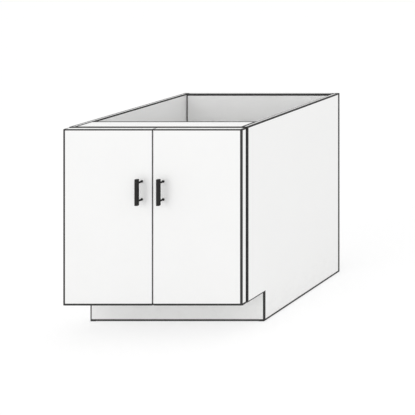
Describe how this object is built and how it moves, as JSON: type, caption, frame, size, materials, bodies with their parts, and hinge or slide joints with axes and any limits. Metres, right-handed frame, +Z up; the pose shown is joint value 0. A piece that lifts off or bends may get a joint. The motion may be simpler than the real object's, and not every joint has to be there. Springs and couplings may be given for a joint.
{
  "type": "sink base cabinet",
  "caption": "Frameless sink base cabinet with an open top, a toe space, and overlay doors on concealed cup hinges with coupled links.",
  "frame": {"origin": "on the floor, below the centre of the whole object's box", "axes": "+X to the right across the front, +Y from the front to the wall, +Z up"},
  "size_m": [0.762, 0.668, 0.876],
  "materials": {
    "white_laminate": "white laminate on board, satin, dark core line at the eased edges",
    "door_laminate": "white laminate on board, satin, dark core line at the eased edges",
    "dowel_wood": "beech, unfinished",
    "black_pull": "matt black powder coat",
    "hinge_steel": "nickel-plated pressed steel",
    "zinc_steel": "bright zinc",
    "bumper_plastic": "soft translucent"
  },
  "bodies": {
    "cabinet": {"back_panel": "white_laminate", "back_screws": "zinc_steel", "bottom_panel": "white_laminate", "carcass_dowels": "dowel_wood", "front_top_rail": "white_laminate", "left_arm_pins": "zinc_steel", "left_arm_screws": "zinc_steel", "left_lower_hinge_arm": "hinge_steel", "left_lower_mounting_plate": "hinge_steel", "left_plate_screws": "zinc_steel", "left_side_panel": "white_laminate", "left_upper_hinge_arm": "hinge_steel", "left_upper_mounting_plate": "hinge_steel", "right_arm_pins": "zinc_steel", "right_arm_screws": "zinc_steel", "right_lower_hinge_arm": "hinge_steel", "right_lower_mounting_plate": "hinge_steel", "right_plate_screws": "zinc_steel", "right_side_panel": "white_laminate", "right_upper_hinge_arm": "hinge_steel", "right_upper_mounting_plate": "hinge_steel", "toe_board": "white_laminate"},
    "left_door": {"left_cup_pins": "zinc_steel", "left_cup_screws": "zinc_steel", "left_door": "door_laminate", "left_door_bumpers": "bumper_plastic", "left_lower_hinge_cup": "hinge_steel", "left_pull": "black_pull", "left_pull_screws": "zinc_steel", "left_upper_hinge_cup": "hinge_steel"},
    "left_inner_links": {"left_lower_inner_link": "hinge_steel", "left_upper_inner_link": "hinge_steel"},
    "left_outer_links": {"left_lower_outer_link": "hinge_steel", "left_upper_outer_link": "hinge_steel"},
    "right_door": {"right_cup_pins": "zinc_steel", "right_cup_screws": "zinc_steel", "right_door": "door_laminate", "right_door_bumpers": "bumper_plastic", "right_lower_hinge_cup": "hinge_steel", "right_pull": "black_pull", "right_pull_screws": "zinc_steel", "right_upper_hinge_cup": "hinge_steel"},
    "right_inner_links": {"right_lower_inner_link": "hinge_steel", "right_upper_inner_link": "hinge_steel"},
    "right_outer_links": {"right_lower_outer_link": "hinge_steel", "right_upper_outer_link": "hinge_steel"}
  },
  "joints": [
    {"name": "left_hinge_swing", "type": "hinge", "parent": "cabinet", "child": "left_outer_links", "pos_m": [-0.3275, -0.262, 0.5005], "axis": [0, 0, 1], "range_deg": [0, 38]},
    {"name": "left_door_turn", "type": "hinge", "parent": "left_outer_links", "child": "left_door", "pos_m": [-0.363, -0.2825, 0.5005], "axis": [0, 0, -1], "range_deg": [0, 133]},
    {"name": "left_inner_turn", "type": "hinge", "parent": "cabinet", "child": "left_inner_links", "pos_m": [-0.324, -0.275, 0.5005], "axis": [0, 0, 1], "range_deg": [0, 47.5]},
    {"name": "right_hinge_swing", "type": "hinge", "parent": "cabinet", "child": "right_outer_links", "pos_m": [0.3275, -0.262, 0.5005], "axis": [0, 0, -1], "range_deg": [0, 38]},
    {"name": "right_door_turn", "type": "hinge", "parent": "right_outer_links", "child": "right_door", "pos_m": [0.363, -0.2825, 0.5005], "axis": [0, 0, 1], "range_deg": [0, 133]},
    {"name": "right_inner_turn", "type": "hinge", "parent": "cabinet", "child": "right_inner_links", "pos_m": [0.324, -0.275, 0.5005], "axis": [0, 0, -1], "range_deg": [0, 47.5]}
  ],
  "couplings": [
    {"joint": "left_door_turn", "follows": "left_hinge_swing", "ratio": 3.5},
    {"joint": "left_inner_turn", "follows": "left_hinge_swing", "ratio": 1.25},
    {"joint": "right_door_turn", "follows": "right_hinge_swing", "ratio": 3.5},
    {"joint": "right_inner_turn", "follows": "right_hinge_swing", "ratio": 1.25}
  ]
}
